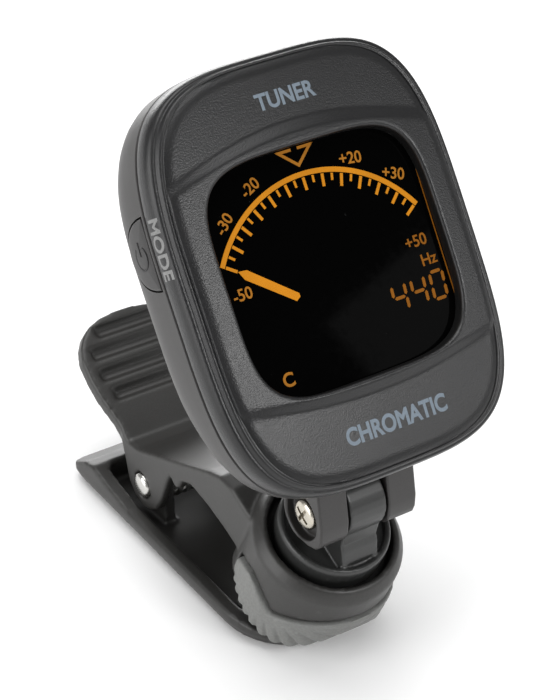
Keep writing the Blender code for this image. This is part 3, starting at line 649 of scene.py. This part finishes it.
def build_scale():
    """Curved band with long and short marks in turn; a mark is its inner radius and half width."""
    bm = bmesh.new()
    angles = [-SCALE_SPAN + 2 * SCALE_SPAN * i / BAND_STEPS for i in range(BAND_STEPS + 1)]
    band = [on_arc(BAND_OUTER, a) for a in angles] + [on_arc(BAND_INNER, a) for a in reversed(angles)]
    flat_strip(bm, band)
    for i in range(MARKS):
        angle = -SCALE_SPAN + MARK_INSET + (2 * SCALE_SPAN - 2 * MARK_INSET) * i / (MARKS - 1)
        tip, half = SHORT_MARK if i % 2 else LONG_MARK
        x0, y0 = on_arc(BAND_INNER - MARK_OVERLAP, angle)
        x1, y1 = on_arc(tip, angle)
        across = Vector((cos(radians(angle)), -sin(radians(angle)))) * half
        flat_strip(bm, [(x0 - across.x, y0 - across.y), (x0 + across.x, y0 + across.y),
                        (x1 + across.x, y1 + across.y), (x1 - across.x, y1 - across.y)])
    figure("scale_band", bm, AMBER)


def build_needle_and_mark():
    """Needle at its low stop, open triangle over the scale's middle, and the glow along the right edge."""
    bm = bmesh.new()
    flat_strip(bm, [(-12.15, 8.12), (-11.0, 8.0), (-5.31, 3.52), (-5.3, 3.1), (-5.9, 2.72), (-11.6, 7.0)])
    figure("needle", bm, AMBER)
    bm = bmesh.new()
    outer = [(-2.72, 19.9), (0.0, 17.5), (2.72, 19.9)]
    inner = [(-1.75, 19.52), (0.0, 17.98), (1.75, 19.52)]
    flat_strip(bm, [outer[0], outer[1], inner[1], inner[0]])
    flat_strip(bm, [outer[1], outer[2], inner[2], inner[1]])
    flat_strip(bm, [(-2.6, 19.9), (-0.45, 19.9), (-0.45, 19.55), (-1.9, 19.55)])
    flat_strip(bm, [(0.45, 19.9), (2.6, 19.9), (1.9, 19.55), (0.45, 19.55)])
    figure("centre_mark", bm, AMBER_LABEL)
    bm = bmesh.new()
    flat_strip(bm, [(15.2, -3.1), (15.34, -3.1), (15.5, 14.8), (15.38, 14.8)])
    figure("edge_glow", bm, AMBER_DIM)


def lettering(name, body, size, middle, level, mat, slot, thickness, bold, matrix=HEAD, turn=0.0, width=1.0):
    """Generic lettering: a text curve, extruded and thickened a little, and made a mesh."""
    curve = bpy.data.curves.new(name, "FONT")
    curve.body = body
    curve.size = size * MM
    curve.align_x = "CENTER"
    curve.align_y = "CENTER"
    curve.extrude = thickness * MM
    curve.bevel_depth = bold * MM
    curve.bevel_resolution = 1
    curve.resolution_u = 6
    drawn = bpy.data.objects.new(name + "_curve", curve)
    bpy.context.scene.collection.objects.link(drawn)
    place = Matrix.Translation((middle[0] * MM, middle[1] * MM, level * MM))
    spin = Matrix.Rotation(radians(turn), 4, "Z")
    # Boldness thickens the letters on all sides, so their height is pressed back
    flat = thickness / (thickness + bold)
    drawn.matrix_world = matrix @ place @ spin @ Matrix.Diagonal((width, 1.0, flat, 1.0))
    bpy.context.view_layer.update()
    evaluated = drawn.evaluated_get(bpy.context.evaluated_depsgraph_get())
    mesh = bpy.data.meshes.new_from_object(evaluated)
    mesh.transform(drawn.matrix_world)
    mesh.materials.clear()
    mesh.materials.append(mat)
    mesh.polygons.foreach_set("use_smooth", [False] * len(mesh.polygons))
    bpy.data.objects.remove(drawn, do_unlink=True)
    obj = bpy.data.objects.new(name, mesh)
    bpy.context.scene.collection.objects.link(obj)
    return dress(obj, "head", slot)


# Labels of the display: name, text, size, middle, turn in degrees, boldness and glow
LABELS = [("label_minus_fifty", "-50", 2.0, (-12.5, 5.4), 0, 0.03, AMBER_LABEL),
          ("label_minus_thirty", "-30", 2.0, (-11.9, 13.8), 40, 0.03, AMBER_LABEL),
          ("label_minus_twenty", "-20", 2.0, (-7.2, 16.9), 24, 0.03, AMBER_LABEL),
          ("label_plus_twenty", "+20", 2.0, (7.0, 16.7), -8, 0.03, AMBER_LABEL),
          ("label_plus_thirty", "+30", 2.0, (12.1, 13.4), -20, 0.03, AMBER_LABEL),
          ("label_plus_fifty", "+50", 2.0, (12.2, 4.8), 0, 0.03, AMBER_DIM),
          ("label_hertz", "Hz", 2.0, (13.2, 2.3), 0, 0.03, AMBER_DIM),
          ("label_note", "C", 2.3, (-10.2, -5.7), 0, 0.06, AMBER_LABEL)]


def build_labels():
    for name, body, size, (x, y), turn, bold, glow in LABELS:
        middle = (x + FIGURE_SHIFT, y)
        lettering(name, body, size, middle, DISPLAY_TOP, glow, "lcd_segments", FIGURE_HALF, bold, turn=turn)


# Segments lit in each digit, named as on any seven-segment display, and where each one's middle is
DIGITS = {"4": "fgbc", "0": "abcdef"}
SEGMENTS = {"a": (0.5, 1.0, "x"), "b": (1.0, 0.75, "y"), "c": (1.0, 0.25, "y"), "d": (0.5, 0.0, "x"),
            "e": (0.0, 0.25, "y"), "f": (0.0, 0.75, "y"), "g": (0.5, 0.5, "x")}
DIGIT_WIDTH, DIGIT_HEIGHT, DIGIT_PITCH, DIGIT_SLANT = 1.85, 3.3, 2.85, 0.08
READING_LEFT, READING_LOW, SEGMENT_HALF, SEGMENT_GAP = 6.65, -2.6, 0.2, 0.32


def segment(x, y, along, length):
    """Outline of one pointed bar of a digit."""
    tip, half = length / 2, SEGMENT_HALF
    bar = [(-tip, 0.0), (-tip + half, half), (tip - half, half), (tip, 0.0), (tip - half, -half),
           (-tip + half, -half)]
    points = []
    for u, v in bar:
        px, py = (u, v) if along == "x" else (-v, u)
        points.append((x + px + DIGIT_SLANT * (y + py), y + py))
    return points


def build_reading():
    """The reference pitch, 440, in seven-segment digits."""
    bm = bmesh.new()
    for i, digit in enumerate("440"):
        left = READING_LEFT + DIGIT_PITCH * i
        for name in DIGITS[digit]:
            u, v, along = SEGMENTS[name]
            length = (DIGIT_WIDTH if along == "x" else DIGIT_HEIGHT / 2) - SEGMENT_GAP
            outline = segment(u * DIGIT_WIDTH, v * DIGIT_HEIGHT, along, length)
            flat_strip(bm, [(left + x, READING_LOW + y) for x, y in outline])
    figure("reading", bm, AMBER_DIM)


# ---------------------------------------------------------------- prints
INK = 0.02


def print_on_face(name, body, size, middle, width, bold):
    """Pad print that follows the domed face."""
    obj = lettering(name, body, size, middle, 0.0, PRINT, "print_ink", INK, bold, width=width)
    inverse = HEAD.inverted()
    for vert in obj.data.vertices:
        local = inverse @ vert.co
        local.z += face_height(local.x / MM, local.y / MM) * MM
        vert.co = HEAD @ local


def cut_finely(obj):
    """Divide a print's faces until no edge is too long to bend."""
    bm = bmesh.new()
    bm.from_mesh(obj.data)
    for _ in range(3):
        bmesh.ops.triangulate(bm, faces=bm.faces)
        long = [edge for edge in bm.edges if edge.calc_length() > 0.3 * MM]
        bmesh.ops.subdivide_edges(bm, edges=long, cuts=1)
    bmesh.ops.triangulate(bm, faces=bm.faces)
    bm.to_mesh(obj.data)
    bm.free()


def rim_reach(z):
    """How far the front cover's wall stands out of the face's edge at a level."""
    for (reach_a, z_a), (reach_b, z_b) in zip(WALL, WALL[1:]):
        if z_b <= z <= z_a:
            return reach_a + (reach_b - reach_a) * (z_a - z) / (z_a - z_b)
    return RIM_REACH


def wrap_on_wall(obj):
    """Lay a print on the front cover's left wall, which rounds over towards the face."""
    inverse = HEAD.inverted()
    for vert in obj.data.vertices:
        local = inverse @ vert.co
        reach = rim_reach(local.z / MM)
        rise = abs(local.y / MM - HEAD_MID) / (FACE_HALF[1] + reach * RIM_UPRIGHT)
        half = (FACE_HALF[0] + reach) * (1.0 - rise ** HEAD_POWER) ** (1.0 / HEAD_POWER)
        local.x += (WALL_X - half) * MM
        vert.co = HEAD @ local


def build_prints():
    print_on_face("print_upper", "TUNER", 2.75, (-0.05, 25.85), 0.92, 0.08)
    print_on_face("print_lower", "CHROMATIC", 2.9, (0.9, -14.4), 0.86, 0.1)
    wall = Matrix.Translation((-WALL_X * MM, 0.0, 0.0)) @ Matrix.Rotation(radians(-90), 4, "Y")
    turned = Matrix.Rotation(radians(-90), 4, "Z")
    place = Matrix.Translation((-0.62 * MM, 13.3 * MM, 0.0))
    label = lettering("print_mode", "MODE", 2.6, (0.0, 0.0), 0.0, SIDE_PRINT, "print_ink", INK, 0.07,
                      HEAD @ wall @ place @ turned)
    cut_finely(label)
    wrap_on_wall(label)


# ---------------------------------------------------------------- joint hardware
def cross_recess(obj, matrix, reach, half, depth):
    """Cut a cross for a screwdriver, turned a little as screws stand."""
    for turn in (0, 90):
        bar = slab([(-reach, -half), (reach, -half), (reach, half), (-reach, half)], -depth, 5.0)
        cut(obj, piece("cross_tool", bar, matrix @ Matrix.Rotation(radians(turn + 20), 4, "Z"), []))


def build_tilt_screw():
    """Pan head screw in the left ear, and its hexagonal nut in the right ear."""
    hinge = HEAD @ Matrix.Translation((0.0, HINGE_IN_HEAD[0] * MM, HINGE_IN_HEAD[1] * MM))
    outward = hinge @ Matrix.Rotation(radians(-90), 4, "Y")
    profile = [(1.1, -6.8), (1.1, 6.1), (1.9, 6.1), (2.0, 6.2), (2.0, 6.45), (1.93, 6.65), (1.75, 6.85),
               (1.45, 6.98), (1.0, 7.04), (0.4, 7.06)]
    screw = piece("tilt_screw_head", lathe(profile), outward, [NICKEL])
    cross_recess(screw, outward @ Matrix.Translation((0.0, 0.0, 7.0 * MM)), 1.25, 0.24, 0.5)
    bevelled(screw, 0.06, 2)
    dress(screw, "head", "tilt_screw", "tilt_screw")
    nut = [[(r * cos(a), r * sin(a), z) for a in [2 * pi * i / 6 for i in range(6)]]
           for r, z in ((1.45, -7.0), (2.1, -7.0), (2.25, -6.85), (2.25, -5.5), (1.45, -5.5))]
    bm = bmesh.new()
    skin(bm, nut, closed=True)
    dress(piece("tilt_hex_nut", bm, outward, [NICKEL]), "head", "tilt_nut", "tilt_nut")


def build_pin():
    """Pivot pin with a rounded head at each end."""
    axis = Matrix.Translation(joints["jaw_open"]["pos_m"]) @ ALONG_X
    end = [(1.75, 8.05), (1.62, 8.3), (1.35, 8.48), (0.9, 8.58), (0.2, 8.62)]
    profile = [(radius, -level) for radius, level in end[::-1]] + end
    dress(piece("hinge_pin", lathe(profile), axis, [STEEL]), "base", "pin", "pivot_pin")


# Spring: half its length, points in a turn, turns, radii of the coil and of the wire, and where its
# legs end, as Y from the pin and world Z
SPRING_HALF, SPRING_STEPS, SPRING_TURNS, SPRING_RADIUS, SPRING_WIRE = 3.7, 40, 5.5, 2.6, 0.4
LOWER_LEG, UPPER_LEG = (7.6, 1.95), (3.4, 8.7)


def spring_route(y0, z0):
    """Points along the wire: a leg on the lower arm, the coils round the pin, a leg under the paddle."""
    count = int(SPRING_TURNS * SPRING_STEPS)
    route = [(-SPRING_HALF, y0 + LOWER_LEG[0], LOWER_LEG[1])]
    for i in range(count + 1):
        a = radians(-90 - 360.0 * i / SPRING_STEPS)
        x = SPRING_HALF * (2 * i / count - 1)
        route.append((x, y0 + SPRING_RADIUS * cos(a), z0 + SPRING_RADIUS * sin(a)))
    route.append((SPRING_HALF, y0 + UPPER_LEG[0], UPPER_LEG[1]))
    return route


def wire_mesh(name, route, radius):
    """Round wire along a route, made a mesh."""
    wire = bpy.data.curves.new(name, "CURVE")
    wire.dimensions = "3D"
    wire.bevel_depth = radius * MM
    wire.bevel_resolution = 4
    wire.use_fill_caps = True
    spline = wire.splines.new("POLY")
    spline.points.add(len(route) - 1)
    for point, place in zip(spline.points, route):
        point.co = (*(Vector(place) * MM), 1.0)
    wire.materials.append(ZINC)
    drawn = bpy.data.objects.new(name + "_curve", wire)
    bpy.context.scene.collection.objects.link(drawn)
    bpy.context.view_layer.update()
    mesh = bpy.data.meshes.new_from_object(drawn.evaluated_get(bpy.context.evaluated_depsgraph_get()))
    bpy.data.objects.remove(drawn, do_unlink=True)
    return mesh


def build_spring():
    """Torsion spring round the pin, between the two arms, made once as a still mesh."""
    y0, z0 = joints["jaw_open"]["pos_m"][1] / MM, joints["jaw_open"]["pos_m"][2] / MM
    spring = bpy.data.objects.new("spring_wire", wire_mesh("spring_wire", spring_route(y0, z0), SPRING_WIRE))
    bpy.context.scene.collection.objects.link(spring)
    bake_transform(spring)
    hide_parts("torsion_spring")


# Ribs of the shoe: middle of its round sole as world Y and Z, radii where they fade in, pitch and depth
SOLE_MID, RIB_INNER, RIB_OUTER, RIB_PITCH, RIB_DEPTH = (-24.6, 14.4), 7.6, 11.0, 1.6, 0.34
RIB_TOP, RIB_FADE = 3.0, 2.5


def score_shoe(obj):
    """Grip ribs across the shoe's curved sole, fading out up its sides."""
    obj.data.update()
    moves = []
    for vert in obj.data.vertices:
        y, z = vert.co.y / MM - SOLE_MID[0], vert.co.z / MM - SOLE_MID[1]
        fade = ramp((hypot(y, z) - RIB_INNER) / (RIB_OUTER - RIB_INNER)) * ramp((-z - RIB_TOP) / RIB_FADE)
        wave = 0.5 + 0.5 * cos(2 * pi * atan2(y, -z) * RIB_OUTER / RIB_PITCH)
        moves.append(vert.normal * (-RIB_DEPTH * MM * fade * wave * wave))
    for vert, move in zip(obj.data.vertices, moves):
        vert.co += move


def build_clip_and_knuckle():
    """Moulded parts whose CAD shape is right but for its sharp edges."""
    arm = rounded_copy("upper_arm", "clip_upper_arm", 0.3, 5, [BLACK_CLIP])
    dress(arm, "upper", "clip_upper", "upper_arm")
    lower = rounded_copy("lower_arm", "clip_lower_arm", 0.3, 3, [BLACK_CLIP])
    dress(lower, "base", "clip_lower", "lower_arm")
    shoe = rounded_copy("upper_pad", "clip_shoe", 0.2, 7, [SHOE_RUBBER])
    score_shoe(shoe)
    dress(shoe, "upper", "shoe_rubber", "upper_pad")
    pad = rounded_copy("lower_pad", "clip_lower_pad", 0.15, 2, [PAD_RUBBER])
    dress(pad, "base", "pad_rubber", "lower_pad")
    knuckle = rounded_copy("swivel_knuckle", "joint_knuckle", 0.2, 3, [BLACK_KNUCKLE])
    dress(knuckle, "knuckle", "knuckle", "swivel_knuckle")


def dress_inner_nodes():
    """CAD nodes whose shape is right stay, with procedural materials of their own."""
    finishes = {
        "lens": GLASS, "lcd_panel": LCD_BLACK,
        "light_guide": moulded("guide_frost", (0.75, 0.73, 0.68), (0.4, 0.6)),
        "zebra_connector": moulded("zebra_pink", (0.5, 0.35, 0.36), (0.6, 0.8)),
        "circuit_board": moulded("solder_mask", (0.02, 0.16, 0.07), (0.3, 0.5)),
        "backlight_led": moulded("led_resin", (0.8, 0.62, 0.3), (0.2, 0.3)),
        "controller_chip": moulded("epoxy_blob", (0.01, 0.01, 0.01), (0.2, 0.4)),
        "tact_switch": moulded("switch_black", (0.03, 0.03, 0.03), (0.4, 0.6)),
        "piezo_disc": metal("piezo_brass", (0.78, 0.58, 0.24)),
        "coin_cell": metal("cell_can", (0.72, 0.72, 0.7)),
        "cell_holder": moulded("holder_black", (0.02, 0.02, 0.02), (0.4, 0.6)),
        "contact_negative": metal("contact_strip", (0.7, 0.68, 0.6)),
        "contact_positive": metal("contact_clip", (0.7, 0.68, 0.6)),
        "swivel_screw": ZINC, "swivel_washer": ZINC}
    for i in range(1, 5):
        finishes[f"case_screw_{i}"] = ZINC
    for name, mat in finishes.items():
        mesh = nodes[name].data
        mesh.materials.clear()
        mesh.materials.append(mat)


# ---------------------------------------------------------------- stage
FLOOR_HALF, FLOOR_LEVEL = 1500.0, -0.2


def build_floor():
    finish = Finish("pale_floor")
    finish.feed("Base Color", finish.mix(finish.noise(30.0), (0.94, 0.94, 0.94), (0.96, 0.96, 0.96)))
    finish.set("Roughness", 0.9)
    bm = bmesh.new()
    bmesh.ops.create_grid(bm, x_segments=1, y_segments=1, size=FLOOR_HALF)
    floor = piece("floor", bm, Matrix.Translation((0.0, 0.0, FLOOR_LEVEL * MM)), [finish.mat])


# Soft boxes, all turned to AIM: name, place and size in metres, power in watts
AIM = (0.0, -0.02, 0.04)
SOFT_BOXES = [("front_left", (0.066, -0.273, 0.203), (0.08, 0.08), 0.34),
              ("front_right", (0.205, -0.235, 0.155), (0.1, 0.1), 0.115),
              ("left", (-0.8, 0.05, 0.3), (0.7, 0.7), 5.5),
              ("rear_low", (0.35, 0.8, 0.16), (0.8, 0.3), 5.0),
              ("top", (0.0, 0.1, 0.9), (0.7, 0.7), 6.0)]
SKY = 0.34


def build_lights():
    """Even white surroundings and the soft boxes."""
    world = bpy.data.worlds.new("studio")
    world.use_nodes = True
    world.node_tree.nodes["Background"].inputs["Color"].default_value = (1.0, 1.0, 1.0, 1.0)
    world.node_tree.nodes["Background"].inputs["Strength"].default_value = SKY
    bpy.context.scene.world = world
    for name, place, size, power in SOFT_BOXES:
        data = bpy.data.lights.new(name, "AREA")
        data.shape = "RECTANGLE"
        data.size, data.size_y = size
        data.energy = power
        lamp = bpy.data.objects.new(name, data)
        lamp.location = place
        lamp.rotation_euler = (Vector(AIM) - Vector(place)).to_track_quat("-Z", "Y").to_euler()
        bpy.context.scene.collection.objects.link(lamp)


# The photo's viewpoint in metres, its direction in degrees and its focal length in millimetres
CAMERA_PLACE = (-0.14397, -0.21320, 0.20484)
CAMERA_TURN = (55.93, -1.5625, -34.113)
CAMERA_LENS, CAMERA_SENSOR = 123.43, 36.0


def build_camera():
    data = bpy.data.cameras.new("camera")
    data.lens = CAMERA_LENS
    data.sensor_width = CAMERA_SENSOR
    data.clip_start = 0.01
    camera = bpy.data.objects.new("camera", data)
    camera.location = CAMERA_PLACE
    camera.rotation_euler = [radians(turn) for turn in CAMERA_TURN]
    bpy.context.scene.collection.objects.link(camera)
    bpy.context.scene.camera = camera


build_camera()
build_front_cover()
build_back_cover()
build_ears()
build_button()
build_power_icon()
build_battery_door()
build_scale()
build_needle_and_mark()
build_labels()
build_reading()
build_prints()
build_tilt_screw()
build_pin()
build_spring()
build_clip_and_knuckle()
dress_inner_nodes()
build_floor()
build_lights()

bpy.context.scene.view_settings.view_transform = "Standard"
